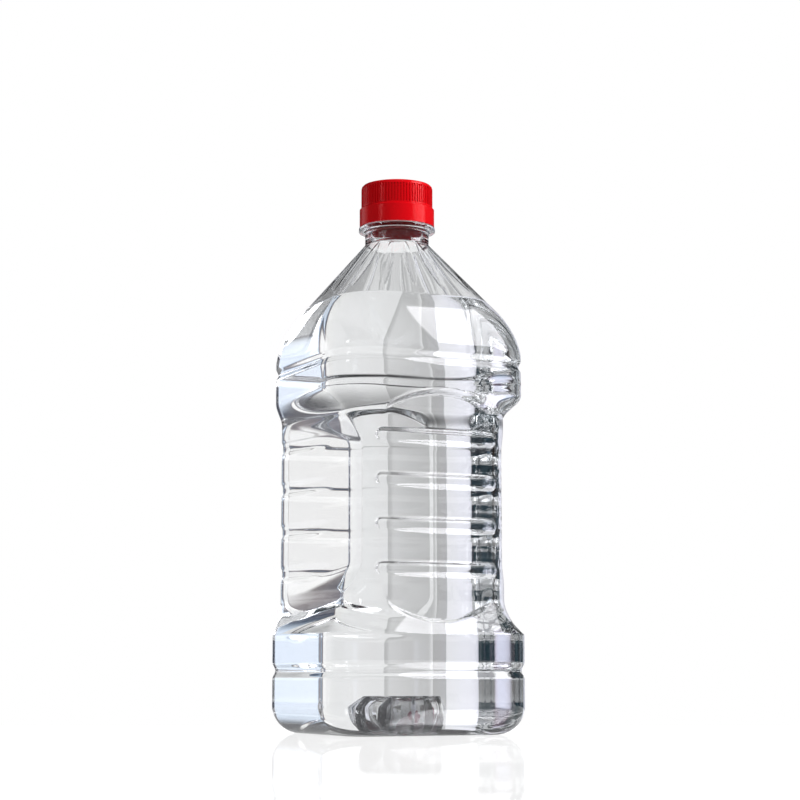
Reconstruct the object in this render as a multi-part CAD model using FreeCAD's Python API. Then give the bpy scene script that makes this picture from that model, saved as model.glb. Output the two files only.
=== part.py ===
"""Square clear plastic bottle with a ribbed screw cap, filled with a clear drink.

Millimetres, +Z up.  The origin is the centre of the base on the standing face.  The flat sides face X
and Y; -Y is the front, and the waist narrows towards it between two tilted grips on the X sides.
"""
import FreeCAD
import Part
import math
import os

# Wall of the blown shell, and the play left round the drink.
WALL = 0.5
LIQUID_FIT = 0.05

# Square body: each section is a square of corner centres with a corner radius round it.
CORNER_CENTRE = 23.5
BUMPER_RADIUS = 20.0
UPPER_BUMPER_RADIUS = 19.4
BASE_ROUNDING = 11.5
BUMPER_EDGE = 1.0

# Heights of the body, each measured from the one below it.
LOWER_BUMPER_TOP = 39.5
FLARE_HEIGHT = 14.5
WAIST_HEIGHT = 72.0
TAPER_HEIGHT = 10.0
UPPER_BUMPER_HEIGHT = 16.7
WAIST_BOTTOM = LOWER_BUMPER_TOP + FLARE_HEIGHT
WAIST_TOP = WAIST_BOTTOM + WAIST_HEIGHT
UPPER_BUMPER_BOTTOM = WAIST_TOP + TAPER_HEIGHT
SHOULDER_START = UPPER_BUMPER_BOTTOM + UPPER_BUMPER_HEIGHT

# Grooves round the bumpers.
LOWER_GROOVE_HEIGHT = 25.3
LOWER_GROOVE_DEPTH = 1.2
LOWER_GROOVE_HALF = 3.0
UPPER_GROOVE_HEIGHT = SHOULDER_START - 5.0
UPPER_GROOVE_DEPTH = 1.0
UPPER_GROOVE_HALF = 2.3

# Waist between the bumpers, narrower at the front corners than at the back ones.
WAIST_RADIUS = 15.5
WAIST_FRONT_CENTRE = CORNER_CENTRE - 4.0
WAIST_BACK_CENTRE = CORNER_CENTRE + 1.4
FLARE_STEPS = 4
TAPER_STEPS = 3

# Shoulder: a round edge that runs into a straight slope up to the neck.
SHOULDER_RADIUS = 29.5
SHOULDER_ANGLE = 38.0
SHOULDER_STEPS = 4
NECK_RADIUS = 13.3
NECK_CORNER = 0.4

# Radial flutes round the top of the shoulder.
FLUTES = 16
FLUTE_DROP = 21.0
FLUTE_WIDTH = 4.8
FLUTE_KEEL = 0.8
FLUTE_DEPTH = 1.3
FLUTE_LIFT = 0.6
FLUTE_TOP_GAP = 0.8

# Front and back panels with arched ends, set down to the waist's flat side.
PANEL_HALF_WIDTH = CORNER_CENTRE
PANEL_LOW = WAIST_BOTTOM - 1.8
PANEL_LOW_ARCH = 7.5
PANEL_HIGH = WAIST_TOP + 7.0
PANEL_HIGH_ARCH = 5.0
PANEL_SLOPE = 2.2

# Horizontal ribs: deep ones across the front panel, shallow ones from grip to grip round the back.
RIBS = 4
RIB_BOTTOM_GAP = 10.5
RIB_TOP_GAP = 9.5
RIB_RUN_OUT = 3.5
RIB_HALF_LENGTH = CORNER_CENTRE + RIB_RUN_OUT
RIB_HALF_HEIGHT = 3.0
RIB_FLOOR_HALF = 1.5
RIB_DEPTH = 1.1
BACK_RIB_DEPTH = 0.6
BACK_RIB_START = -2.0

# Grips: wedge-shaped pockets in the X sides, deepest at the front, where they run out round the corner.
GRIP_HALF_LENGTH = CORNER_CENTRE - 5.5
GRIP_DEPTH = 2.3
GRIP_END_GAP = 2.0
GRIP_END_RUN = 7.2
GRIP_LIFT = 0.3
GRIP_REACH = CORNER_CENTRE + WAIST_RADIUS + 3.0

# Push-up in the base, inside a flat ring that the bottle stands on.
STANDING_RING = 12.5
PUSH_UP_RADIUS = CORNER_CENTRE + BUMPER_RADIUS - BASE_ROUNDING - STANDING_RING
PUSH_UP_TOP_RADIUS = 12.5
PUSH_UP_HEIGHT = 15.2
PUSH_UP_LOBES = 8
PUSH_UP_NOTCH = 0.78

# Neck finish above the shoulder.
NECK_LENGTH = 5.8
NECK_WALL = 0.9
FINISH_WALL = 1.6
RING_OVERHANG = 2.6
RING_THICKNESS = 1.8
RING_EDGE = 0.5
FINISH_RADIUS = 12.45
FINISH_HEIGHT = 16.4
BORE_LEAD = 3.0
RING_RADIUS = NECK_RADIUS + RING_OVERHANG
BORE_RADIUS = FINISH_RADIUS - FINISH_WALL

# Screw cap, and the smooth tamper band that its ribs end on.
CAP_CLEARANCE = 0.3
CAP_TOP_GAP = 0.1
CAP_TOP = 1.6
CAP_WALL = 2.15
CAP_TOP_ROUNDING = 1.6
CAP_TOP_STEPS = 3
KNURLS = 76
KNURL_DEPTH = 0.35
KNURL_FILL = 0.5
KNURL_FOOT = 0.4
BAND_STEP = 0.7
BAND_HEIGHT = 8.0
BAND_SLOPE = 0.6
BAND_GAP = 0.3
BAND_SLIT = 0.05
CAP_INNER_RADIUS = FINISH_RADIUS + CAP_CLEARANCE
CAP_RADIUS = CAP_INNER_RADIUS + CAP_WALL
BAND_RADIUS = CAP_RADIUS + BAND_STEP

# Drink, up to a level below the foot of the neck.
LEVEL_DROP = 25.8

# Longer than any size of the bottle, for blocks that cut or keep one side of it.
AMPLE = 300.0

SQUARE = [(-1, -1), (1, -1), (1, 1), (-1, 1)]
UP = FreeCAD.Vector(0, 0, 1)


def vector(x, y, z):
    return FreeCAD.Vector(x, y, z)


def square_centres(half):
    """Corner centres of a square section."""
    return [(sx * half, sy * half) for sx, sy in SQUARE]


def waist_centres():
    """Corner centres of the waist, narrower at the front."""
    front = WAIST_FRONT_CENTRE
    back = WAIST_BACK_CENTRE
    depth = CORNER_CENTRE
    return [(-front, -depth), (front, -depth), (back, depth), (-back, depth)]


def blend(first, second, share):
    """Corner centres part of the way from one section to another."""
    return [(a[0] + (b[0] - a[0]) * share, a[1] + (b[1] - a[1]) * share)
            for a, b in zip(first, second)]


def outward(start, end):
    """Unit normal of a side, pointing out of a section that runs anticlockwise."""
    length = math.hypot(end[0] - start[0], end[1] - start[1])
    return ((end[1] - start[1]) / length, (start[0] - end[0]) / length)


def outline(centres, radius, z):
    """Closed wire at one height: straight sides joined by an arc round each corner centre."""
    count = len(centres)
    normals = [outward(centres[i], centres[(i + 1) % count]) for i in range(count)]
    edges = []
    for i in range(count):
        centre = centres[(i + 1) % count]
        before = normals[i]
        after = normals[(i + 1) % count]
        middle_length = math.hypot(before[0] + after[0], before[1] + after[1])
        middle = ((before[0] + after[0]) / middle_length, (before[1] + after[1]) / middle_length)
        points = [vector(centre[0] + n[0] * radius, centre[1] + n[1] * radius, z)
                  for n in (before, middle, after)]
        start = vector(centres[i][0] + before[0] * radius, centres[i][1] + before[1] * radius, z)
        edges.append(Part.makeLine(start, points[0]))
        edges.append(Part.Arc(*points).toShape())
    return Part.Wire(edges)


def loft(wires):
    """Solid through the wires with straight bands between them."""
    return Part.makeLoft(wires, True, True)


def arc(centre, radius, start, end):
    """Arc in the XZ plane from one angle to another, in degrees from +X."""
    def at(degrees):
        angle = math.radians(degrees)
        return vector(centre[0] + radius * math.cos(angle), 0, centre[1] + radius * math.sin(angle))
    return Part.Arc(at(start), at((start + end) / 2), at(end)).toShape()


def profile_face(steps):
    """Face in the XZ plane from points (x, z) and ready edges, closed at the end."""
    edges = []
    first = None
    last = None
    for step in steps:
        if isinstance(step, tuple):
            point = vector(step[0], 0, step[1])
            if last is not None and last.distanceToPoint(point) > 1e-6:
                edges.append(Part.makeLine(last, point))
            last = point
        else:
            start = step.valueAt(step.FirstParameter)
            if last is not None and last.distanceToPoint(start) > 1e-6:
                edges.append(Part.makeLine(last, start))
            edges.append(step)
            last = step.valueAt(step.LastParameter)
            if first is None:
                first = start
        if first is None:
            first = last
    if last.distanceToPoint(first) > 1e-6:
        edges.append(Part.makeLine(last, first))
    return Part.Face(Part.Wire(edges))


def swept_square(profile, low, high):
    """Carry a profile, measured from the corner centres, along the sides and round the corners."""
    half = CORNER_CENTRE
    section = profile.translated(vector(half, -half, 0))
    side = section.extrude(vector(0, 2 * half, 0))
    corner = section.revolve(vector(half, -half, 0), UP, -90)
    pieces = []
    for turn in range(4):
        for piece in (side, corner):
            pieces.append(piece.rotated(vector(0, 0, 0), UP, 90 * turn))
    core = Part.makeBox(2 * half, 2 * half, high - low, vector(-half, -half, low))
    return core.multiFuse(pieces).removeSplitter()


def groove_arc(face, height, depth, half, inset):
    """Round groove in an upright face of a profile, followed by the wall at an inset."""
    radius = (half ** 2 + depth ** 2) / (2 * depth)
    centre = (face + radius - depth, height)
    reach = radius + inset
    angle = math.degrees(math.acos((radius - depth + inset) / reach))
    return arc(centre, reach, 180 + angle, 180 - angle)


def lower_bumper(inset):
    """Base rounding and lower bumper with its groove."""
    radius = BUMPER_RADIUS - inset
    round_centre = (BUMPER_RADIUS - BASE_ROUNDING, BASE_ROUNDING)
    top = LOWER_BUMPER_TOP
    edge_centre = (BUMPER_RADIUS - BUMPER_EDGE, top - BUMPER_EDGE)
    profile = profile_face([
        (0, inset),
        arc(round_centre, BASE_ROUNDING - inset, -90, 0),
        groove_arc(BUMPER_RADIUS, LOWER_GROOVE_HEIGHT, LOWER_GROOVE_DEPTH, LOWER_GROOVE_HALF, inset),
        (radius, edge_centre[1]),
        (radius - BUMPER_EDGE, top),
        (0, top),
    ])
    return swept_square(profile, inset, top)


def upper_bumper(inset):
    """Upper bumper with the groove under the shoulder."""
    radius = UPPER_BUMPER_RADIUS - inset
    profile = profile_face([
        (0, UPPER_BUMPER_BOTTOM),
        (radius, UPPER_BUMPER_BOTTOM),
        groove_arc(UPPER_BUMPER_RADIUS, UPPER_GROOVE_HEIGHT, UPPER_GROOVE_DEPTH, UPPER_GROOVE_HALF, inset),
        (radius, SHOULDER_START),
        (0, SHOULDER_START),
    ])
    return swept_square(profile, UPPER_BUMPER_BOTTOM, SHOULDER_START)


def waist(inset):
    """Waist with a hollow flare below it and a soft taper above it."""
    square = square_centres(CORNER_CENTRE)
    narrow = waist_centres()
    wires = []
    flare_radius = BUMPER_RADIUS - BUMPER_EDGE
    for step in range(FLARE_STEPS + 1):
        share = step / FLARE_STEPS
        curve = 1 - (1 - share) ** 2
        radius = flare_radius + (WAIST_RADIUS - flare_radius) * curve - inset
        z = LOWER_BUMPER_TOP + (WAIST_BOTTOM - LOWER_BUMPER_TOP) * share
        wires.append(outline(blend(square, narrow, curve), radius, z))
    for step in range(TAPER_STEPS + 1):
        share = step / TAPER_STEPS
        curve = share * share * (3 - 2 * share)
        radius = WAIST_RADIUS + (UPPER_BUMPER_RADIUS - WAIST_RADIUS) * curve - inset
        z = WAIST_TOP + (UPPER_BUMPER_BOTTOM - WAIST_TOP) * share
        wires.append(outline(blend(narrow, square, curve), radius, z))
    return loft(wires)


def shoulder_profile():
    """Half-widths of the shoulder: heights and sizes at the arc's steps and at the neck."""
    half = CORNER_CENTRE + UPPER_BUMPER_RADIUS
    levels = []
    for step in range(SHOULDER_STEPS + 1):
        angle = math.radians(SHOULDER_ANGLE * step / SHOULDER_STEPS)
        levels.append((SHOULDER_START + SHOULDER_RADIUS * math.sin(angle),
                       half - SHOULDER_RADIUS * (1 - math.cos(angle))))
    z, size = levels[-1]
    levels.append((z + (size - NECK_RADIUS) / math.tan(math.radians(SHOULDER_ANGLE)), NECK_RADIUS))
    return levels


def shoulder_section(z, size):
    """Corner centre and corner radius of the shoulder at one height."""
    share = (z - SHOULDER_START) / (NECK_BASE - SHOULDER_START)
    centre = CORNER_CENTRE + (NECK_CORNER - CORNER_CENTRE) * share
    return centre, size - centre


def shoulder(inset):
    """Shoulder from the square bumper to the round neck."""
    wires = []
    for z, size in SHOULDER_LEVELS:
        centre, radius = shoulder_section(z, size)
        wires.append(outline(square_centres(centre), radius - inset, z))
    return loft(wires)


SHOULDER_LEVELS = shoulder_profile()
NECK_BASE = SHOULDER_LEVELS[-1][0]
RING_BOTTOM = NECK_BASE + NECK_LENGTH
RING_TOP = RING_BOTTOM + RING_THICKNESS
FINISH_TOP = RING_TOP + FINISH_HEIGHT


def slope_point(z, angle, inset):
    """Point on the straight slope of the shoulder, as its distance from the axis and its height."""
    size = NECK_RADIUS + (NECK_BASE - z) * math.tan(math.radians(SHOULDER_ANGLE))
    centre, radius = shoulder_section(z, size)
    radius -= inset
    turn = math.radians(angle % 90)
    turn = min(turn, math.pi / 2 - turn)
    if math.tan(turn) < centre / (centre + radius):
        return (centre + radius) / math.cos(turn), z
    spread = math.cos(turn) + math.sin(turn)
    return centre * spread + math.sqrt(radius ** 2 - centre ** 2 * (2 - spread ** 2)), z


def flute(angle, inset):
    """Pointed flute down the slope of the shoulder at one angle about the neck."""
    high = slope_point(NECK_BASE - FLUTE_TOP_GAP, angle, inset)
    low = slope_point(NECK_BASE - FLUTE_TOP_GAP - FLUTE_DROP, angle, inset)
    tilt = math.atan2(low[0] - high[0], high[1] - low[1])
    half_length = math.hypot(low[0] - high[0], high[1] - low[1]) / 2 + inset
    stretch = (FLUTE_DEPTH + FLUTE_LIFT) / FLUTE_DEPTH
    spread = (FLUTE_WIDTH / 2 + inset) * stretch
    keel = FLUTE_KEEL / 2
    middle = [vector(FLUTE_LIFT, -spread, 0), vector(-FLUTE_DEPTH, -keel, 0),
              vector(-FLUTE_DEPTH, keel, 0), vector(FLUTE_LIFT, spread, 0)]
    tips = [Part.Vertex(vector(FLUTE_LIFT, 0, side * half_length * stretch)) for side in (-1, 1)]
    cutter = loft([tips[0], Part.makePolygon(middle + [middle[0]]), tips[1]])
    cutter = cutter.rotated(vector(0, 0, 0), vector(0, 1, 0), -math.degrees(tilt))
    cutter = cutter.translated(vector((high[0] + low[0]) / 2, 0, (high[1] + low[1]) / 2))
    return cutter.rotated(vector(0, 0, 0), UP, angle)


def flutes(inset):
    """Ring of flutes under the neck."""
    return [flute(360 * (i + 0.5) / FLUTES, inset) for i in range(FLUTES)]


def arched_wire(grow, y):
    """Panel outline in an upright plane: straight sides with an arched top and bottom."""
    half = PANEL_HALF_WIDTH + grow
    low = PANEL_LOW - grow
    high = PANEL_HIGH + grow
    bottom = Part.Arc(vector(-half, y, low), vector(0, y, low - PANEL_LOW_ARCH), vector(half, y, low))
    top = Part.Arc(vector(half, y, high), vector(0, y, high + PANEL_HIGH_ARCH), vector(-half, y, high))
    sides = [Part.makeLine(vector(half, y, low), vector(half, y, high)),
             Part.makeLine(vector(-half, y, high), vector(-half, y, low))]
    return Part.Wire([bottom.toShape(), sides[0], top.toShape(), sides[1]])


def panels(inset):
    """Cutters that set the front and back panels down to the waist."""
    floor = CORNER_CENTRE + WAIST_RADIUS - inset
    outer = CORNER_CENTRE + BUMPER_RADIUS + 1
    cutter = loft([arched_wire(inset, -floor), arched_wire(inset + PANEL_SLOPE, -outer)])
    return [cutter.rotated(vector(0, 0, 0), UP, turn) for turn in (0, 180)]


def capsule_wire(half_length, radius, y, z):
    """Horizontal capsule in an upright plane."""
    x = half_length - radius
    right = Part.Arc(vector(x, y, z - radius), vector(half_length, y, z), vector(x, y, z + radius))
    left = Part.Arc(vector(-x, y, z + radius), vector(-half_length, y, z), vector(-x, y, z - radius))
    return Part.Wire([Part.makeLine(vector(-x, y, z - radius), vector(x, y, z - radius)),
                      right.toShape(),
                      Part.makeLine(vector(x, y, z + radius), vector(-x, y, z + radius)),
                      left.toShape()])


def rib_heights():
    """Middle heights of the ribs, spread evenly up the waist."""
    spacing = (WAIST_HEIGHT - RIB_BOTTOM_GAP - RIB_TOP_GAP) / (RIBS - 1)
    return [WAIST_BOTTOM + RIB_BOTTOM_GAP + spacing * i for i in range(RIBS)]


def front_ribs(inset):
    """Capsule-shaped grooves across the front panel."""
    face = CORNER_CENTRE + WAIST_RADIUS - inset
    slope = (RIB_HALF_HEIGHT - RIB_FLOOR_HALF) / RIB_DEPTH
    cutters = []
    for z in rib_heights():
        outer = capsule_wire(RIB_HALF_LENGTH + inset + slope, RIB_HALF_HEIGHT + inset + slope, -face - 1, z)
        floor_length = RIB_HALF_LENGTH - slope * RIB_DEPTH + inset
        floor = capsule_wire(floor_length, RIB_FLOOR_HALF + inset, -face + RIB_DEPTH, z)
        cutters.append(loft([outer, floor]))
    return cutters


def back_ribs(inset):
    """Grooves that run from one grip round the back to the other."""
    centres = waist_centres()
    radius = WAIST_RADIUS - inset
    room = Part.makeBox(2 * AMPLE, AMPLE, 2 * AMPLE, vector(-AMPLE, BACK_RIB_START, -AMPLE))
    cutters = []
    for z in rib_heights():
        half = RIB_HALF_HEIGHT + inset
        floor_half = RIB_FLOOR_HALF + inset
        slab = loft([outline(centres, radius + 1, z - half), outline(centres, radius + 1, z + half)])
        kept = loft([outline(centres, radius, z - half),
                     outline(centres, radius - BACK_RIB_DEPTH, z - floor_half),
                     outline(centres, radius - BACK_RIB_DEPTH, z + floor_half),
                     outline(centres, radius, z + half)])
        cutters.append(slab.cut(kept).common(room))
    return cutters


def grip_wire(along, depth, inset):
    """Section of a grip pocket: floor at a depth below the side, ends sloping out past its surface."""
    slope = GRIP_END_RUN / GRIP_DEPTH
    low = WAIST_BOTTOM + GRIP_END_GAP - inset
    high = WAIST_TOP - GRIP_END_GAP + inset
    rise = slope * GRIP_LIFT
    corners = [vector(GRIP_LIFT, along, low - rise), vector(-depth, along, low + slope * depth),
               vector(-depth, along, high - slope * depth), vector(GRIP_LIFT, along, high + rise)]
    return Part.makePolygon(corners + [corners[0]])


def grips(inset):
    """Wedge-shaped pockets in the X sides of the waist."""
    front = (WAIST_FRONT_CENTRE, -CORNER_CENTRE)
    back = (WAIST_BACK_CENTRE, CORNER_CENTRE)
    tilt = math.degrees(math.atan2(back[0] - front[0], back[1] - front[1]))
    fade = GRIP_DEPTH / (2 * GRIP_HALF_LENGTH)
    back_end = GRIP_HALF_LENGTH + GRIP_LIFT / (2 * fade)
    cutter = loft([grip_wire(along, fade * (GRIP_HALF_LENGTH - along), inset)
                   for along in (-GRIP_REACH, back_end)])
    normal = outward(front, back)
    radius = WAIST_RADIUS - inset
    centre = ((front[0] + back[0]) / 2 + normal[0] * radius, normal[1] * radius)
    right = cutter.rotated(vector(0, 0, 0), UP, -tilt).translated(vector(centre[0], centre[1], 0))
    return [right, right.mirror(vector(0, 0, 0), vector(1, 0, 0))]


def star_wire(radius, notch, z):
    """Star with a flat tip on each lobe."""
    points = []
    count = 4 * PUSH_UP_LOBES
    for i in range(count):
        angle = 2 * math.pi * (i + 0.5) / count
        size = radius if i % 4 in (0, 1) else radius * notch
        points.append(vector(size * math.cos(angle), size * math.sin(angle), z))
    return Part.makePolygon(points + [points[0]])


def push_up(inset):
    """Faceted dome pushed up into the base, with hollows between its lobes."""
    grown = PUSH_UP_RADIUS + inset
    return loft([star_wire(grown, 1.0, -1), star_wire(grown, 1.0, 0),
                 star_wire(PUSH_UP_TOP_RADIUS + inset, PUSH_UP_NOTCH, PUSH_UP_HEIGHT + inset)])


def body(inset):
    """Blown form up to the neck, with every recess, moved in by an inset."""
    form = lower_bumper(inset).multiFuse([waist(inset), upper_bumper(inset), shoulder(inset)])
    form = form.removeSplitter()
    cutters = panels(inset) + grips(inset) + front_ribs(inset) + back_ribs(inset)
    cutters += flutes(inset) + [push_up(inset)]
    for cutter in cutters:
        form = form.cut(cutter)
    return form


def turned(steps):
    """Solid of revolution about Z from a profile of (x, z) points."""
    return profile_face(steps).revolve(vector(0, 0, 0), UP, 360)


def neck_finish():
    """Neck with its support ring and the plain finish under the cap."""
    return turned([
        (0, NECK_BASE - 1), (NECK_RADIUS, NECK_BASE - 1), (NECK_RADIUS, RING_BOTTOM),
        (RING_RADIUS - RING_EDGE, RING_BOTTOM), (RING_RADIUS, RING_BOTTOM + RING_EDGE),
        (RING_RADIUS, RING_TOP - RING_EDGE), (RING_RADIUS - RING_EDGE, RING_TOP),
        (FINISH_RADIUS, RING_TOP), (FINISH_RADIUS, FINISH_TOP), (0, FINISH_TOP),
    ])


def bore():
    """Hollow of the neck: thin-walled up to the support ring, then funnelled to the bore."""
    foot = NECK_RADIUS - WALL
    neck = NECK_RADIUS - NECK_WALL
    return turned([
        (0, NECK_BASE - 0.5), (foot, NECK_BASE - 0.5), (foot, NECK_BASE),
        (neck, NECK_BASE + 1), (neck, RING_TOP - BORE_LEAD), (BORE_RADIUS, RING_TOP),
        (BORE_RADIUS, FINISH_TOP + 1), (0, FINISH_TOP + 1),
    ])


def make_bottle():
    """Shell with the neck, open at the top."""
    outer = body(0).fuse(neck_finish())
    hollow = body(WALL).fuse(bore())
    return outer.cut(hollow).removeSplitter()


def make_liquid():
    """Drink filling the shell up to its level."""
    above = Part.makeBox(2 * AMPLE, 2 * AMPLE, AMPLE, vector(-AMPLE, -AMPLE, NECK_BASE - LEVEL_DROP))
    return body(WALL + LIQUID_FIT).cut(above)


def make_cap():
    """Screw cap: a cup with upright ribs and a rounded top edge."""
    bottom = RING_TOP + BAND_GAP + BAND_HEIGHT + BAND_SLIT
    top = FINISH_TOP + CAP_TOP_GAP + CAP_TOP
    edge = top - CAP_TOP_ROUNDING
    inner = CAP_INNER_RADIUS
    steps = [math.radians(90 * i / CAP_TOP_STEPS) for i in range(CAP_TOP_STEPS + 1)]
    flat = CAP_RADIUS - CAP_TOP_ROUNDING
    rounding = [(flat + CAP_TOP_ROUNDING * math.cos(angle), edge + CAP_TOP_ROUNDING * math.sin(angle))
                for angle in steps]
    cap = turned([(0, top), (0, FINISH_TOP + CAP_TOP_GAP), (inner, FINISH_TOP + CAP_TOP_GAP),
                  (inner, bottom), (CAP_RADIUS, bottom)] + rounding)
    width = 2 * math.pi * CAP_RADIUS / KNURLS * KNURL_FILL
    foot = bottom + KNURL_FOOT
    slot = Part.makeBox(2 * KNURL_DEPTH, width, edge - foot,
                        vector(CAP_RADIUS - KNURL_DEPTH, -width / 2, foot))
    slots = [slot.rotated(vector(0, 0, 0), UP, 360 * i / KNURLS) for i in range(KNURLS)]
    return cap.cut(Part.makeCompound(slots))


def make_tamper_band():
    """Ring that stays on the neck when the cap is first opened."""
    bottom = RING_TOP + BAND_GAP
    top = bottom + BAND_HEIGHT
    inner = CAP_INNER_RADIUS
    return turned([(inner, bottom), (BAND_RADIUS, bottom), (BAND_RADIUS, top - BAND_SLOPE),
                   (CAP_RADIUS, top), (inner, top)])


def save(shape, name):
    shape.exportStep("parts/" + name + ".step")
    print(name, "valid", shape.isValid(), "solids", len(shape.Solids), "cm3", round(shape.Volume / 1000, 2))


os.makedirs("parts", exist_ok=True)
save(make_bottle(), "bottle")
save(make_liquid(), "liquid")
save(make_cap(), "cap")
save(make_tamper_band(), "tamper_band")
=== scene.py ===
"""Dressed model of the square clear bottle: blown shell, drink, ribbed cap, tamper band and studio."""
import math

import bpy
import numpy as np
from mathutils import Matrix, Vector


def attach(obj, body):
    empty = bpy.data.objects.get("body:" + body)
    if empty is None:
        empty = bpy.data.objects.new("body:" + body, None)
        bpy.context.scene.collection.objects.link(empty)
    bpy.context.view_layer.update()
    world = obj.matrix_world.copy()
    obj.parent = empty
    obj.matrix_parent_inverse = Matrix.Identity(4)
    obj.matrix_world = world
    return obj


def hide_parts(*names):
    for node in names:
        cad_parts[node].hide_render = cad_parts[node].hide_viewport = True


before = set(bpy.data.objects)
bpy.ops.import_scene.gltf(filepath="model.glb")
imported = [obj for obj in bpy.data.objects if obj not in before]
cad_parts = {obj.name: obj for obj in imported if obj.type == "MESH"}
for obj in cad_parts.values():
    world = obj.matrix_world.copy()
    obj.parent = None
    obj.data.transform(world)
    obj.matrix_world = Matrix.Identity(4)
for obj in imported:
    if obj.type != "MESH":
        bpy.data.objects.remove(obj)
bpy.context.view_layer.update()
MM = 0.001
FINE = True

# Sizes in millimetres. The main ones are those of the part's solids.
WALL = 0.5
# How far the drink reaches into the wall, so that no air gap shows.
LIQUID_REACH = 0.15
CORNER_CENTRE = 23.5
BUMPER_RADIUS = 20.0
UPPER_BUMPER_RADIUS = 19.4
BASE_ROUNDING = 11.5
LOWER_BUMPER_TOP = 39.5
WAIST_BOTTOM = 54.0
WAIST_TOP = 126.0
UPPER_BUMPER_BOTTOM = 136.0
SHOULDER_START = 152.7
# Height, depth and half-width of each groove round a bumper.
LOWER_GROOVE = (25.3, 1.2, 3.0)
UPPER_GROOVE = (147.7, 1.0, 2.3)
GROOVE_SPREAD = 1.15
WAIST_RADIUS = 15.5
WAIST_FRONT_CENTRE = CORNER_CENTRE - 4.0
WAIST_BACK_CENTRE = CORNER_CENTRE + 1.4
SHOULDER_RADIUS = 29.5
SHOULDER_ANGLE = math.radians(38.0)
NECK_RADIUS = 13.3
NECK_CORNER = 0.4
FLUTES = 16
FLUTE_DROP = 21.0
FLUTE_WIDTH = 4.8
FLUTE_DEPTH = 1.3
FLUTE_TOP_GAP = 0.8
FLUTE_TIP_WIDTH = 0.01
PANEL_HALF_WIDTH = CORNER_CENTRE
PANEL_LOW = WAIST_BOTTOM - 1.8
PANEL_LOW_ARCH = 7.5
PANEL_HIGH = WAIST_TOP + 1.0
PANEL_HIGH_ARCH = 6.5
PANEL_SLOPE = 2.2
BACK_PANEL_SLOPE = 8.0
PANEL_CORNER = 4.0
PANEL_EDGE = 0.9
PANEL_MARGIN = 1.0
PANEL_ROOM_BELOW = 4.0
PANEL_ROOM_ABOVE = 6.0
RIB_HEIGHTS = (64.5, 81.8, 99.2, 116.5)
RIB_HALF_LENGTH = CORNER_CENTRE + 3.5
RIB_HALF_HEIGHT = 3.2
RIB_FLOOR_HALF = 1.3
RIB_DEPTH = 1.1
RIB_FADE_START = 14.0
RIB_FADE_END = 31.0
BACK_RIB_DEPTH = 0.6
BACK_RIB_START = -16.0
BACK_RIB_FULL = 16.0
GRIP_HALF_LENGTH = CORNER_CENTRE - 5.5
GRIP_DEPTH = 2.3
GRIP_END_GAP = 2.0
GRIP_END_RUN = 7.2
GRIP_FLOOR_EDGE = 0.7
GRIP_RIM_EDGE = 0.4
GRIP_ROOM = 2.0
GRIP_FACING_LEAST = 0.3
STIPPLE_DEPTH = 0.09
STIPPLE_SEED = 7
STIPPLE_HEIGHTS = (62.0, 120.0)
STIPPLE_FRONT = -38.5
STIPPLE_BACK = 10.0
STIPPLE_FADE = 4.0
STIPPLE_FRONT_FADE = 2.0
PUSH_UP_RADIUS = 19.5
PUSH_UP_TOP_RADIUS = 12.5
PUSH_UP_HEIGHT = 15.2
PUSH_UP_LOBES = 8
PUSH_UP_NOTCH = 0.78
PUSH_UP_EDGE = 0.12
PUSH_UP_LOBE_EDGES = (0.25, 0.75)
NECK_LENGTH = 5.8
NECK_WALL = 0.9
RING_RADIUS = NECK_RADIUS + 2.6
RING_THICKNESS = 1.8
FINISH_RADIUS = 12.45
FINISH_WALL = 1.6
FINISH_HEIGHT = 16.4
BORE_RADIUS = FINISH_RADIUS - FINISH_WALL
BORE_LEAD = 3.0
LEVEL_DROP = 25.8
LEVEL_INSET = 0.985

# Fineness of the skin: columns round the axis and the step from row to row.
COLUMNS = 480 if FINE else 288
ROW_STEP = 0.55 if FINE else 0.9
BASE_ROWS_LEAST = 6
PUSH_UP_ROW_SPREAD = 1.4
FOOT_ROWS = 8

SHOULDER_BEND = SHOULDER_START + SHOULDER_RADIUS * math.sin(SHOULDER_ANGLE)
BEND_SIZE = CORNER_CENTRE + UPPER_BUMPER_RADIUS - SHOULDER_RADIUS * (1 - math.cos(SHOULDER_ANGLE))
NECK_BASE = SHOULDER_BEND + (BEND_SIZE - NECK_RADIUS) / math.tan(SHOULDER_ANGLE)
RING_BOTTOM = NECK_BASE + NECK_LENGTH
RING_TOP = RING_BOTTOM + RING_THICKNESS
FINISH_TOP = RING_TOP + FINISH_HEIGHT
LIQUID_LEVEL = NECK_BASE - LEVEL_DROP


# ---- small helpers -----------------------------------------------------------------------------------

def smoothstep(low, high, value):
    share = np.clip((value - low) / (high - low), 0.0, 1.0)
    return share * share * (3 - 2 * share)


def soft_min(a, b, reach):
    """Lower of two values, with a rounded corner of the given reach."""
    share = np.clip(0.5 + 0.5 * (b - a) / reach, 0.0, 1.0)
    return b + (a - b) * share - reach * share * (1 - share)


def soft_max(a, b, reach):
    return -soft_min(-a, -b, reach)


def add_object(name, data):
    piece = bpy.data.objects.new(name, data)
    bpy.context.scene.collection.objects.link(piece)
    return piece


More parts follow.
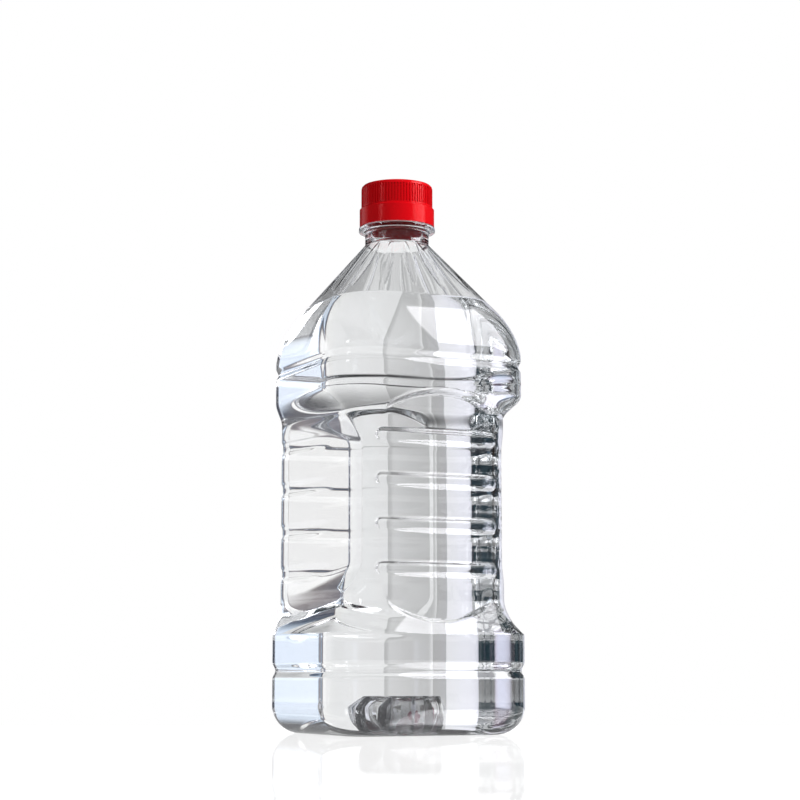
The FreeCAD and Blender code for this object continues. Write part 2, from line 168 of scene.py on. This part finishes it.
class NodeTools:
    """Short ways to add and join the shader nodes of a material or the world."""

    def __init__(self, owner):
        owner.use_nodes = True
        self.nodes = owner.node_tree.nodes
        self.links = owner.node_tree.links
        self.nodes.clear()

    def add(self, kind, inputs=None, **settings):
        """New node with its settings; inputs holds values or other nodes' outputs by socket."""
        node = self.nodes.new("ShaderNode" + kind)
        for name, value in settings.items():
            setattr(node, name, value)
        for key, item in (inputs or {}).items():
            if isinstance(item, bpy.types.NodeSocket):
                self.links.new(item, node.inputs[key])
            else:
                node.inputs[key].default_value = item
        return node

    def shader(self, kind, inputs=None):
        return self.add(kind, inputs).outputs[0]

    def mix(self, share, first, second):
        return self.shader("MixShader", {0: share, 1: first, 2: second})

    def join(self, first, second):
        return self.shader("AddShader", {0: first, 1: second})

    def along(self, point, axis):
        """How far a point or a direction reaches along an axis."""
        return self.add("VectorMath", {0: point, 1: axis}, operation="DOT_PRODUCT").outputs["Value"]

    def maths(self, operation, *inputs):
        return self.add("Math", dict(enumerate(inputs)), operation=operation).outputs[0]

    def rise(self, value, low, high, first=0.0, last=1.0, kind="SMOOTHSTEP"):
        """Step of a value from first at low to last at high."""
        inputs = {"Value": value, "From Min": low, "From Max": high, "To Min": first, "To Max": last}
        return self.add("MapRange", inputs, interpolation_type=kind).outputs["Result"]

    def window(self, value, low, high, soft):
        """One between two limits and nothing outside them."""
        first = self.rise(value, low - soft, low + soft)
        return self.maths("MULTIPLY", first, self.rise(value, high - soft, high + soft, 1.0, 0.0))


# ---- blown form --------------------------------------------------------------------------------------

def section(z):
    """Share of the waist's shape and the corner radius at one height up to the shoulder."""
    if z < LOWER_BUMPER_TOP:
        return 0.0, BUMPER_RADIUS
    if z < WAIST_BOTTOM:
        share = (z - LOWER_BUMPER_TOP) / (WAIST_BOTTOM - LOWER_BUMPER_TOP)
        curve = 1 - (1 - share) ** 2
        return curve, BUMPER_RADIUS + (WAIST_RADIUS - BUMPER_RADIUS) * curve
    if z < WAIST_TOP:
        return 1.0, WAIST_RADIUS
    if z < UPPER_BUMPER_BOTTOM:
        share = (z - WAIST_TOP) / (UPPER_BUMPER_BOTTOM - WAIST_TOP)
        curve = share * share * (3 - 2 * share)
        return 1 - curve, WAIST_RADIUS + (UPPER_BUMPER_RADIUS - WAIST_RADIUS) * curve
    return 0.0, UPPER_BUMPER_RADIUS


def groove(z, place):
    """Depth of a round horizontal groove at a height."""
    height, depth, half = place
    offset = abs(z - height) / (half * GROOVE_SPREAD)
    return depth * 0.5 * (1 + math.cos(math.pi * offset)) if offset < 1 else 0.0


def shoulder_size(z):
    """Half-width of the shoulder at a height."""
    if z < SHOULDER_BEND:
        rise = z - SHOULDER_START
        return (CORNER_CENTRE + UPPER_BUMPER_RADIUS - SHOULDER_RADIUS
                + math.sqrt(SHOULDER_RADIUS ** 2 - rise ** 2))
    return NECK_RADIUS + (NECK_BASE - z) * math.tan(SHOULDER_ANGLE)


def stations():
    """Sections from the standing face to the neck: height, corner centres and corner radius."""
    rows = []
    turns = max(BASE_ROWS_LEAST, round(BASE_ROUNDING * math.pi / 2 / ROW_STEP))
    for i in range(turns):
        angle = math.pi / 2 * i / turns
        radius = BUMPER_RADIUS - BASE_ROUNDING + BASE_ROUNDING * math.sin(angle)
        rows.append((BASE_ROUNDING * (1 - math.cos(angle)), 0.0, CORNER_CENTRE, radius))
    count = round((NECK_BASE - BASE_ROUNDING) / ROW_STEP)
    for i in range(count + 1):
        z = BASE_ROUNDING + (NECK_BASE - BASE_ROUNDING) * i / count
        if z < SHOULDER_START:
            waist, radius = section(z)
            radius -= groove(z, LOWER_GROOVE) + groove(z, UPPER_GROOVE)
            rows.append((z, waist, CORNER_CENTRE, radius))
        else:
            share = (z - SHOULDER_START) / (NECK_BASE - SHOULDER_START)
            centre = CORNER_CENTRE + (NECK_CORNER - CORNER_CENTRE) * share
            rows.append((z, 0.0, centre, shoulder_size(z) - centre))
    return rows


def corner_centres(waist, centre):
    """Corner centres of a section, drawn in towards the front by its share of the waist."""
    front = centre + (WAIST_FRONT_CENTRE - CORNER_CENTRE) * waist
    back = centre + (WAIST_BACK_CENTRE - CORNER_CENTRE) * waist
    return [(-front, -centre), (front, -centre), (back, centre), (-back, centre)]


def reach_of(centres, radius, ux, uy):
    """Distance from the axis to a rounded section along each unit direction."""
    best = np.zeros_like(ux)
    for i in range(4):
        cx, cy = centres[i]
        along = ux * cx + uy * cy
        gap = radius ** 2 - (cx ** 2 + cy ** 2 - along ** 2)
        hit = along + np.sqrt(np.maximum(gap, 0.0))
        best = np.maximum(best, np.where(gap > 0, hit, 0.0))
        ex, ey = centres[(i + 1) % 4]
        length = math.hypot(ex - cx, ey - cy)
        tx, ty = (ex - cx) / length, (ey - cy) / length
        nx, ny = ty, -tx
        facing = nx * ux + ny * uy
        hit = (nx * cx + ny * cy + radius) / np.where(facing > 1e-6, facing, 1.0)
        place = (hit * ux - cx) * tx + (hit * uy - cy) * ty
        inside = (facing > 1e-6) & (place >= 0) & (place <= length)
        best = np.maximum(best, np.where(inside, hit, 0.0))
    return best


def set_panels(x, y, z):
    """Set the front and back down to the waist's flat side inside the arched panels."""
    floor = CORNER_CENTRE + WAIST_RADIUS
    rise = np.clip(1 - (x / PANEL_HALF_WIDTH) ** 2, -1.0, 1.0)
    outside = np.maximum(PANEL_LOW - PANEL_LOW_ARCH * rise - z, z - PANEL_HIGH - PANEL_HIGH_ARCH * rise)
    outside = soft_max(outside, np.abs(x) - PANEL_HALF_WIDTH, PANEL_CORNER)
    slope = np.where(y > 0, BACK_PANEL_SLOPE, PANEL_SLOPE)
    ramp = floor + np.maximum(outside, 0.0) * (BUMPER_RADIUS - WAIST_RADIUS + PANEL_MARGIN) / slope
    set_down = np.sign(y) * np.minimum(soft_min(np.abs(y), ramp, PANEL_EDGE), np.abs(y))
    room = (z > LOWER_BUMPER_TOP - PANEL_ROOM_BELOW) & (z < UPPER_BUMPER_BOTTOM + PANEL_ROOM_ABOVE)
    return np.where(room & (np.abs(y) > floor - PANEL_MARGIN), set_down, y)


def rib_shape(distance):
    """Flat-floored groove section, one deep, from the distance to its middle line."""
    return 1 - smoothstep(RIB_FLOOR_HALF, RIB_HALF_HEIGHT, distance)


def front_ribs(x, y, z):
    """Depth of the capsule ribs across the front."""
    end = RIB_HALF_LENGTH - RIB_HALF_HEIGHT
    past = np.maximum(np.abs(x) - end, 0.0)
    shapes = [rib_shape(np.hypot(past, z - height)) for height in RIB_HEIGHTS]
    fade = smoothstep(RIB_FADE_END, RIB_FADE_START, x)
    return RIB_DEPTH * np.max(shapes, axis=0) * fade * (y < -CORNER_CENTRE)


def back_ribs(y, z):
    """Depth of the shallow ribs that wrap round the back."""
    shapes = [rib_shape(np.abs(z - height)) for height in RIB_HEIGHTS]
    return BACK_RIB_DEPTH * np.max(shapes, axis=0) * smoothstep(BACK_RIB_START, BACK_RIB_FULL, y)


def grip_depth(x, y, z):
    """Depth of the wedge pockets in the X sides, which deepen to the front and run out round the corner."""
    tilt = math.atan2(WAIST_BACK_CENTRE - WAIST_FRONT_CENTRE, 2 * CORNER_CENTRE)
    middle = (WAIST_FRONT_CENTRE + WAIST_BACK_CENTRE) / 2
    along = (np.abs(x) - middle) * math.sin(tilt) + y * math.cos(tilt)
    out = (np.abs(x) - middle) * math.cos(tilt) - y * math.sin(tilt)
    floor = GRIP_DEPTH * (GRIP_HALF_LENGTH - along) / (2 * GRIP_HALF_LENGTH)
    rise = GRIP_DEPTH / GRIP_END_RUN
    low = WAIST_BOTTOM + GRIP_END_GAP
    high = WAIST_TOP - GRIP_END_GAP
    ends = np.minimum(z - low, high - z) * rise
    depth = soft_min(floor, ends, GRIP_FLOOR_EDGE) - (WAIST_RADIUS - out)
    facing = (np.abs(x) * math.cos(tilt) - y * math.sin(tilt)) / np.hypot(x, y)
    pocket = soft_max(depth, np.zeros_like(depth), GRIP_RIM_EDGE) / np.maximum(facing, GRIP_FACING_LEAST)
    room = (np.abs(x) > CORNER_CENTRE) & (z > low - GRIP_ROOM) & (z < high + GRIP_ROOM)
    return np.where(room, pocket, 0.0)


def stipple(x, y, z):
    """Fine random pits on the floor of the grip in the +X side."""
    low, high = STIPPLE_HEIGHTS
    ends = smoothstep(low, low + STIPPLE_FADE, z) * smoothstep(high, high - STIPPLE_FADE, z)
    front = smoothstep(STIPPLE_FRONT, STIPPLE_FRONT + STIPPLE_FRONT_FADE, y)
    sides = front * smoothstep(STIPPLE_BACK, STIPPLE_BACK - STIPPLE_FADE, y)
    pits = PITS.rand(*x.shape)
    return STIPPLE_DEPTH * pits * ends * sides * (x > CORNER_CENTRE)


def flute_depth(turn, z):
    """Depth of the pointed flutes under the neck."""
    pitch = 2 * math.pi / FLUTES
    offset = (turn / pitch) % 1.0 - 0.5
    top = NECK_BASE - FLUTE_TOP_GAP
    middle = top - FLUTE_DROP / 2
    size = NECK_RADIUS + (NECK_BASE - z) * math.tan(SHOULDER_ANGLE)
    across = np.abs(offset) * pitch * size
    lengthwise = np.clip(1 - np.abs(z - middle) / (FLUTE_DROP / 2), 0.0, 1.0)
    width = FLUTE_WIDTH / 2 * np.sqrt(lengthwise) + FLUTE_TIP_WIDTH
    share = np.clip(across / width, 0.0, 1.0)
    return FLUTE_DEPTH * np.sqrt(lengthwise) * 0.5 * (1 + np.cos(math.pi * share))


def dome_height(turn, size):
    """Height of the lobed push-up at a distance from the axis."""
    lobe = np.abs(((turn * PUSH_UP_LOBES / (2 * math.pi)) % 1.0) * 2 - 1)
    swell = smoothstep(*PUSH_UP_LOBE_EDGES, lobe)
    top = PUSH_UP_TOP_RADIUS * (PUSH_UP_NOTCH + (1 - PUSH_UP_NOTCH) * swell)
    share = np.clip((PUSH_UP_RADIUS - size) / (PUSH_UP_RADIUS - top), 0.0, 1.0)
    return PUSH_UP_HEIGHT * soft_min(share, np.ones_like(share), PUSH_UP_EDGE)


def outer_rows():
    """Grid of the outer skin in millimetres, from the base's middle to the neck's foot."""
    turn = 2 * math.pi * (np.arange(COLUMNS) + 0.5) / COLUMNS
    ux, uy = np.cos(turn), np.sin(turn)
    rows = []
    places = stations()
    rim = reach_of(corner_centres(0.0, CORNER_CENTRE), places[0][3], ux, uy)
    steps = round(PUSH_UP_RADIUS / ROW_STEP / PUSH_UP_ROW_SPREAD)
    for i in range(1, steps + 1):
        size = np.full(COLUMNS, PUSH_UP_RADIUS * i / steps)
        rows.append(np.stack([ux * size, uy * size, dome_height(turn, size)], axis=1))
    for i in range(1, FOOT_ROWS):
        size = PUSH_UP_RADIUS + (rim - PUSH_UP_RADIUS) * i / FOOT_ROWS
        rows.append(np.stack([ux * size, uy * size, np.zeros(COLUMNS)], axis=1))
    for z, waist, centre, radius in places:
        size = reach_of(corner_centres(waist, centre), radius, ux, uy)
        x, y, height = ux * size, uy * size, np.full(COLUMNS, z)
        if z < SHOULDER_START:
            y = set_panels(x, y, height)
            y = y + front_ribs(x, y, height)
            cut = back_ribs(y, height) + grip_depth(x, y, height) + stipple(x, y, height)
        else:
            cut = flute_depth(turn, height)
        length = np.hypot(x, y)
        rows.append(np.stack([x - x / length * cut, y - y / length * cut, height], axis=1))
    return np.array(rows)


def normals_of(grid):
    """Outward unit normals of a grid of rows that close round the axis."""
    around = np.roll(grid, -1, axis=1) - np.roll(grid, 1, axis=1)
    upward = np.gradient(grid, axis=0)
    normal = np.cross(around, upward)
    return normal / np.linalg.norm(normal, axis=2, keepdims=True)


def circle(radius, z):
    """Row of points on a level circle round the axis."""
    turn = 2 * math.pi * (np.arange(COLUMNS) + 0.5) / COLUMNS
    return np.stack([radius * np.cos(turn), radius * np.sin(turn), np.full(COLUMNS, z)], axis=1)


def rounded_steps(centre, radius, start, end, count):
    """Points (radius, height) on an arc of a turned profile, angles in degrees."""
    points = []
    for i in range(count + 1):
        angle = math.radians(start + (end - start) * i / count)
        points.append((centre[0] + radius * math.cos(angle), centre[1] + radius * math.sin(angle)))
    return points


def neck_profile():
    """Turned profile from the neck's foot over the support ring to the finish and down the bore."""
    edge = 0.45
    fillet = 1.1
    lead = 0.3
    inside = NECK_RADIUS - NECK_WALL
    points = [(NECK_RADIUS, NECK_BASE + 0.4), (NECK_RADIUS, NECK_BASE + 1.5)]
    points += rounded_steps((NECK_RADIUS + fillet, RING_BOTTOM - fillet), fillet, 180, 90, 6)
    points += rounded_steps((RING_RADIUS - edge, RING_BOTTOM + edge), edge, -90, 0, 5)
    points += rounded_steps((RING_RADIUS - edge, RING_TOP - edge), edge, 0, 90, 5)
    points += [(FINISH_RADIUS + lead, RING_TOP), (FINISH_RADIUS, RING_TOP + lead)]
    points += rounded_steps((FINISH_RADIUS - edge, FINISH_TOP - edge), edge, 0, 90, 4)
    points += rounded_steps((BORE_RADIUS + edge, FINISH_TOP - edge), edge, 90, 180, 4)
    points += [(BORE_RADIUS, RING_TOP + lead), (BORE_RADIUS + 0.1, RING_TOP - lead)]
    points += [(inside - 0.1, RING_TOP - BORE_LEAD), (inside, NECK_BASE + 1.2)]
    points.append((NECK_RADIUS - WALL - 0.2, NECK_BASE + 0.5))
    return points


def mesh_from_grid(name, grid, closed_bottom, closed_top):
    """Mesh of a grid in millimetres, with a fan at each closed end."""
    rows, columns = grid.shape[:2]
    points = [grid.reshape(-1, 3)]
    index = np.arange(rows * columns).reshape(rows, columns)
    after = np.roll(index, -1, axis=1)
    quads = np.stack([index[:-1], after[:-1], after[1:], index[1:]], axis=2).reshape(-1, 4)
    faces = quads.tolist()
    total = rows * columns
    for row, wanted, flip in ((0, closed_bottom, True), (rows - 1, closed_top, False)):
        if not wanted:
            continue
        points.append(grid[row].mean(axis=0, keepdims=True))
        pairs = zip(index[row].tolist(), after[row].tolist())
        faces += [(b, a, total) if flip else (a, b, total) for a, b in pairs]
        total += 1
    mesh = bpy.data.meshes.new(name)
    mesh.from_pydata((np.concatenate(points) * MM).tolist(), [], faces)
    mesh.shade_smooth()
    mesh.validate()
    return add_object(name, mesh)


PITS = np.random.RandomState(STIPPLE_SEED)
OUTER = outer_rows()
OUTER_NORMALS = normals_of(OUTER)


def make_shell():
    """Shell: outer skin, neck finish, bore and inner skin in one closed mesh."""
    neck = np.array([circle(radius, z) for radius, z in neck_profile()])
    inner = (OUTER - OUTER_NORMALS * WALL)[::-1]
    inner = inner[inner[:, :, 2].max(axis=1) < NECK_BASE + 1]
    grid = np.concatenate([OUTER, neck, inner])
    return mesh_from_grid("shell", grid, True, True)


def make_drink():
    """Drink: the inner skin moved just into the wall, closed by a level top."""
    grid = OUTER - OUTER_NORMALS * (WALL - LIQUID_REACH)
    heights = grid[:, :, 2]
    low = int(np.argmax(heights.min(axis=1) > LIQUID_LEVEL))
    below = grid[:low - 1]
    share = ((LIQUID_LEVEL - grid[low - 1, :, 2]) / (grid[low, :, 2] - grid[low - 1, :, 2]))[:, None]
    rim = grid[low - 1] + (grid[low] - grid[low - 1]) * share
    rim[:, 2] = LIQUID_LEVEL
    inset = rim * np.array([LEVEL_INSET, LEVEL_INSET, 1.0])
    return mesh_from_grid("drink", np.concatenate([below, [rim], [inset]]), True, True)


# ---- materials ---------------------------------------------------------------------------------------

PLASTIC_IOR = 1.5
PLASTIC_COLOUR = (0.995, 0.998, 1.0, 1)
WATER_IOR = 1.333
WHITE = (1.0, 1.0, 1.0, 1)
CAP_COLOUR = (0.66, 0.002, 0.006, 1)
CAP_ROUGHNESS = 0.24
CAP_SPECULAR = 0.35
CAP_SHEEN = (1.0, 0.35, 0.35, 1)


def new_material(name):
    material = bpy.data.materials.new(name)
    return material, NodeTools(material)


def clear_material(name, ior, colour):
    """Clear body that lets lamps shine straight through it."""
    material, tools = new_material(name)
    glass = tools.shader("BsdfGlass", {"IOR": ior, "Color": colour, "Roughness": 0.0})
    through = tools.shader("BsdfTransparent")
    path = tools.add("LightPath")
    tools.add("OutputMaterial", {"Surface": tools.mix(path.outputs["Is Shadow Ray"], glass, through)})
    return material


def red_material():
    """Smooth moulded red, whose highlights stay reddish."""
    material, tools = new_material("cap_red")
    looks = {
        "Base Color": CAP_COLOUR,
        "Roughness": CAP_ROUGHNESS,
        "Specular IOR Level": CAP_SPECULAR,
        "Specular Tint": CAP_SHEEN,
    }
    tools.add("OutputMaterial", {"Surface": tools.shader("BsdfPrincipled", looks)})
    return material


# ---- pieces ------------------------------------------------------------------------------------------

clear_plastic = clear_material("clear_plastic", PLASTIC_IOR, PLASTIC_COLOUR)
water = clear_material("water", WATER_IOR, WHITE)
red = red_material()

shell = make_shell()
shell.data.materials.append(clear_plastic)
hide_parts("bottle")
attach(shell, "root")

drink = make_drink()
drink.data.materials.append(water)
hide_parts("liquid")
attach(drink, "root")

for node in ("cap", "tamper_band"):
    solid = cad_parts[node]
    solid.data.materials.clear()
    solid.data.materials.append(red)

# ---- studio ------------------------------------------------------------------------------------------

# The view is from the front and a little to the left. Places are in metres: right, depth and height.
VIEW_TURN = math.radians(25.0)
RIGHT = (math.cos(VIEW_TURN), -math.sin(VIEW_TURN), 0.0)
AWAY = (math.sin(VIEW_TURN), math.cos(VIEW_TURN), 0.0)
UP = (0.0, 0.0, 1.0)

CAMERA_PLACE = (0.0013, -0.819, 0.0235)
CAMERA_TILT = 7.83
CAMERA_LENS = 90.0
CAMERA_SENSOR = 36.0
CAMERA_REACH = 20.0

FLOOR_REACH = 6.0
FLOOR_END = 0.12
FLOOR_SHINE = 0.45
FLOOR_ROUGHNESS = 0.03
FLOOR_GLOW_DEPTHS = (0.02, 0.11)
FLOOR_LIFT = 0.25

NECK_CARD_LEFT = (-0.030, 0.065)
NECK_CARD_RIGHT = (0.030, 0.065)
NECK_CARD_HEIGHTS = (0.2155, 0.228)
NECK_CARD_STRENGTHS = (1.05, 1.0)

# Painted shade: a dark plum cone under the push-up, shown only through the bottle, makes the push-up dark.
PAD_SIDES = 32
PAD_MIDDLE = 0.0015
PAD_RINGS = ((0.0135, 0.0004), (0.0095, 0.0115))
PAINTED_SHADE_COLOUR = (0.10, 0.015, 0.04, 1)

KEY_PLACE = (0.75, -0.35, 0.85)
KEY_TARGET = (0, 0, 0.12)
KEY_SIZE = 0.3
KEY_POWER = 12.0

# Even light on matt surfaces.
FILL = 0.42

# The surroundings, by bearing in degrees: 0 straight away, negative to the left. A height is the upward part
# of a ray's direction. Steps are (from, to, first, last) and windows (from, to, softness of the ends).
# Seen through the bottle: a round wall, with a dim card straight behind and a shaded one beside it.
CARD_STEP = (-1.0, 1.1, 0.89, 0.66)
CARD_BEARINGS = (-1.1, 1.6, 0.1)
DIM_CARD_LEFT = (-6.5, -6.3, 1.0, 0.0)
DIM_CARD_RIGHT = (1.5, 2.0, 0.58, 1.0)
THROUGH_SCALE = 2.0
THROUGH_TOP = (0.22, 0.42, THROUGH_SCALE, 0.04 * THROUGH_SCALE)
LOW_CARD_BEARINGS = (-90, -58, 2)
LOW_CARD_HEIGHTS = (-0.5, 0.045, 0.01)
LOW_CARD_COLOUR = (0.78, 0.80, 0.92, 1)
# Seen in shiny surfaces: a white wall behind, a card at the left, a strip and a large softbox.
SHINE_COLOUR = (0.97, 0.96, 1.0, 1)
SHINE_FLOOR = 0.05
SHINE_TOP = (0.2, 0.35, 1.0, 0.0)
WALL_BEARINGS = (-14, 14, 2)
SIDE_BEARINGS = (-74, -44, 3)
STRIP_BEARINGS = (-134, -127, 0.7)
STRIP_HEIGHTS = (0.19, 0.45, 0.02)
STRIP_GLOW = 7.0
SOFTBOX_AXIS = (1.0, 0.0, 0.024)
SOFTBOX_EDGE = (0.4385, 0.4405)
SOFTBOX_HEIGHTS = (0.215, 0.875, 0.01)
SOFTBOX_FRONT = (0.05, 0.12, 1.0, 0.0)
SOFTBOX_GLOW = 8.0
# Brightness of the round wall at each bearing.
THROUGH_STOPS = [
    (-180, (0.012, 0.015, 0.025)), (-150, (0.01, 0.04, 0.05)), (-112, (0.015, 0.015, 0.02)),
    (-98, (0.01, 0.04, 0.06)), (-95, (0.60, 0.66, 0.80)), (-91, (0.02, 0.015, 0.03)),
    (-78, (0.14, 0.03, 0.07)), (-54, (0.10, 0.20, 0.28)), (-48, (0.98, 0.98, 1.10)),
    (-14, (0.98, 0.98, 1.05)), (-6.5, (0.93, 0.93, 0.96)), (-2, (0.90, 0.90, 0.90)),
    (4, (0.88, 0.88, 0.88)), (10, (0.91, 0.91, 0.91)), (22, (0.93, 0.93, 0.93)),
    (30, (1.00, 1.00, 0.99)), (38, (1.06, 1.05, 1.03)), (39.6, (0.12, 0.08, 0.08)),
    (42.5, (0.05, 0.10, 0.18)), (44.5, (0.85, 1.00, 1.20)), (53, (1.20, 1.30, 1.45)),
    (56, (0.04, 0.03, 0.05)), (64, (0.04, 0.07, 0.11)), (67, (0.70, 0.72, 0.80)),
    (70, (0.03, 0.03, 0.04)), (84, (0.25, 0.10, 0.04)), (98, (0.01, 0.04, 0.07)),
    (180, (0.07, 0.005, 0.025)),
]


def place(right, away, up):
    """Point in the studio, from the view's right, its depth and the height."""
    return (RIGHT[0] * right + AWAY[0] * away, RIGHT[1] * right + AWAY[1] * away, up)


def hide(thing, *kinds):
    """Keep a stage piece out of the named kinds of ray."""
    for kind in kinds:
        setattr(thing, "visible_" + kind, False)


def make_camera():
    data = bpy.data.cameras.new("camera")
    data.lens = CAMERA_LENS
    data.sensor_width = CAMERA_SENSOR
    data.clip_end = CAMERA_REACH
    camera = add_object("camera", data)
    camera.location = place(*CAMERA_PLACE)
    camera.rotation_euler = (math.radians(90.0 + CAMERA_TILT), 0.0, -VIEW_TURN)
    bpy.context.scene.camera = camera


def make_stage(name, points, faces, material):
    """Piece of the stage from a plain mesh."""
    mesh = bpy.data.meshes.new(name)
    mesh.from_pydata(points, [], faces)
    mesh.materials.append(material)
    piece = add_object(name, mesh)
    return piece


def make_floor():
    """White floor with a mirror image, which ends behind the bottle."""
    material, tools = new_material("floor_white")
    matt = tools.shader("BsdfDiffuse", {"Color": WHITE})
    gloss = tools.shader("BsdfGlossy", {"Roughness": FLOOR_ROUGHNESS})
    # Behind the bottle the floor glows white, so that its end runs into the white backdrop.
    where = tools.add("TexCoord")
    far = tools.rise(tools.along(where.outputs["Object"], AWAY), *FLOOR_GLOW_DEPTHS)
    surface = tools.mix(far, tools.mix(FLOOR_SHINE, matt, gloss), tools.shader("Emission"))
    # A little glow to the camera alone makes the floor as white as the backdrop.
    path = tools.add("LightPath")
    lift = tools.maths("MULTIPLY", path.outputs["Is Camera Ray"], FLOOR_LIFT)
    surface = tools.join(surface, tools.shader("Emission", {"Strength": lift}))
    tools.add("OutputMaterial", {"Surface": surface})
    corners = [(-FLOOR_REACH, -FLOOR_REACH), (FLOOR_REACH, -FLOOR_REACH),
               (FLOOR_REACH, FLOOR_END), (-FLOOR_REACH, FLOOR_END)]
    make_stage("floor", [place(across, depth, 0.0) for across, depth in corners], [(0, 1, 2, 3)], material)


def make_neck_card():
    """Glowing card behind the neck that only light through the bottle meets."""
    material, tools = new_material("neck_card_glow")
    where = tools.add("TexCoord")
    across = tools.along(where.outputs["Object"], RIGHT)
    strength = tools.rise(across, NECK_CARD_LEFT[0], NECK_CARD_RIGHT[0], *NECK_CARD_STRENGTHS, kind="LINEAR")
    tools.add("OutputMaterial", {"Surface": tools.shader("Emission", {"Strength": strength})})
    low, high = NECK_CARD_HEIGHTS
    left, right = NECK_CARD_LEFT, NECK_CARD_RIGHT
    corners = [(*left, low), (*right, low), (*right, high), (*left, high)]
    card = make_stage("neck_card", [place(*corner) for corner in corners], [(0, 1, 2, 3)], material)
    hide(card, "camera", "glossy", "diffuse", "shadow")


def make_painted_shade_pad():
    """Painted shade: a low dark plum cone on the floor under the push-up, hidden from the camera, which
    darkens and tints the push-up through the drink.
    """
    material, tools = new_material("plum_painted_shade")
    tools.add("OutputMaterial", {"Surface": tools.shader("BsdfDiffuse", {"Color": PAINTED_SHADE_COLOUR})})
    middle = place(PAD_MIDDLE, 0.0, 0.0)
    points = []
    for radius, height in PAD_RINGS:
        for step in range(PAD_SIDES):
            turn = 2 * math.pi * step / PAD_SIDES
            points.append((middle[0] + radius * math.cos(turn), middle[1] + radius * math.sin(turn), height))
    after = [(step + 1) % PAD_SIDES for step in range(PAD_SIDES)]
    faces = [(i, after[i], PAD_SIDES + after[i], PAD_SIDES + i) for i in range(PAD_SIDES)]
    faces.append(tuple(range(PAD_SIDES, 2 * PAD_SIDES)))
    hide(make_stage("painted_shade_pad", points, faces, material), "camera", "diffuse", "shadow")


def make_key():
    """Square lamp from the upper right, which mirrors and clear bodies don't show."""
    data = bpy.data.lights.new("key", "AREA")
    data.shape = "RECTANGLE"
    data.size = KEY_SIZE
    data.size_y = KEY_SIZE
    data.energy = KEY_POWER
    lamp = add_object("key", data)
    lamp.location = place(*KEY_PLACE)
    aim = Vector(KEY_TARGET) - Vector(place(*KEY_PLACE))
    lamp.rotation_euler = aim.to_track_quat("-Z", "Y").to_euler()
    hide(lamp, "glossy", "transmission")


def fill_ramp(ramp, stops):
    """Set the colour ramp's stops, each a bearing in degrees and a colour."""
    elements = ramp.color_ramp.elements
    for element, stop in ((elements[0], stops[0]), (elements[1], stops[-1])):
        element.position = 0.5 + stop[0] / 360
        element.color = (*[part / THROUGH_SCALE for part in stop[1]], 1)
    for degrees, colour in stops[1:-1]:
        element = elements.new(0.5 + degrees / 360)
        element.color = (*[part / THROUGH_SCALE for part in colour], 1)


def seen_through(tools, bearing, up):
    """Surroundings as light through the bottle meets them."""
    turn = tools.maths("MULTIPLY_ADD", bearing, 1 / 360, 0.5)
    ramp = tools.add("ValToRGB", {0: turn})
    fill_ramp(ramp, THROUGH_STOPS)
    card = tools.maths("MULTIPLY", tools.rise(bearing, *CARD_STEP), tools.window(bearing, *CARD_BEARINGS))
    sides = tools.maths("MAXIMUM", tools.rise(bearing, *DIM_CARD_LEFT), tools.rise(bearing, *DIM_CARD_RIGHT))
    shade = tools.maths("MAXIMUM", card, sides)
    level = tools.maths("MULTIPLY", shade, tools.rise(up, *THROUGH_TOP))
    wall = tools.shader("Background", {"Color": ramp.outputs[0], "Strength": level})
    low_bearings = tools.window(bearing, *LOW_CARD_BEARINGS)
    low_level = tools.maths("MULTIPLY", low_bearings, tools.window(up, *LOW_CARD_HEIGHTS))
    return tools.join(wall, tools.shader("Background", {"Color": LOW_CARD_COLOUR, "Strength": low_level}))


def seen_in_shine(tools, where, bearing, up):
    """Surroundings as shiny surfaces mirror them."""
    low = tools.rise(up, *SHINE_TOP)
    wall = tools.maths("MULTIPLY", tools.window(bearing, *WALL_BEARINGS), low)
    side = tools.maths("MULTIPLY", tools.window(bearing, *SIDE_BEARINGS), low)
    strip_heights = tools.window(up, *STRIP_HEIGHTS)
    strip = tools.maths("MULTIPLY", tools.window(bearing, *STRIP_BEARINGS), strip_heights)
    edge = tools.rise(tools.along(where, SOFTBOX_AXIS), *SOFTBOX_EDGE)
    box = tools.maths("MULTIPLY", edge, tools.window(up, *SOFTBOX_HEIGHTS))
    box = tools.maths("MULTIPLY", box, tools.rise(tools.along(where, AWAY), *SOFTBOX_FRONT))
    level = tools.maths("MAXIMUM", tools.maths("MAXIMUM", wall, side), SHINE_FLOOR)
    level = tools.maths("MULTIPLY_ADD", strip, STRIP_GLOW, level)
    level = tools.maths("MULTIPLY_ADD", box, SOFTBOX_GLOW, level)
    return tools.shader("Background", {"Color": SHINE_COLOUR, "Strength": level})


def make_world():
    """White to the camera; a studio of dark and bright sides to light through or off the bottle."""
    world = bpy.data.worlds.new("studio")
    bpy.context.scene.world = world
    tools = NodeTools(world)
    where = tools.add("TexCoord").outputs["Generated"]
    up = tools.along(where, UP)
    bearing = tools.maths("ARCTAN2", tools.along(where, RIGHT), tools.along(where, AWAY))
    bearing = tools.maths("MULTIPLY", bearing, 180 / math.pi)
    plain = tools.shader("Background", {"Color": WHITE, "Strength": 1.0})
    fill = tools.shader("Background", {"Color": WHITE, "Strength": FILL})
    path = tools.add("LightPath")
    surface = tools.mix(path.outputs["Is Camera Ray"], fill, plain)
    surface = tools.mix(path.outputs["Is Glossy Ray"], surface, seen_in_shine(tools, where, bearing, up))
    surface = tools.mix(path.outputs["Is Transmission Ray"], surface, seen_through(tools, bearing, up))
    # Matt surfaces behind clear ones get the even fill too.
    matt = tools.maths("MINIMUM", path.outputs["Diffuse Depth"], 1.0)
    tools.add("OutputWorld", {"Surface": tools.mix(matt, surface, fill)})


make_camera()
make_floor()
make_neck_card()
make_painted_shade_pad()
make_world()
make_key()

bpy.context.scene.view_settings.view_transform = "Standard"
bpy.context.scene.cycles.max_bounces = 32
bpy.context.scene.cycles.transmission_bounces = 32
bpy.context.scene.cycles.glossy_bounces = 12
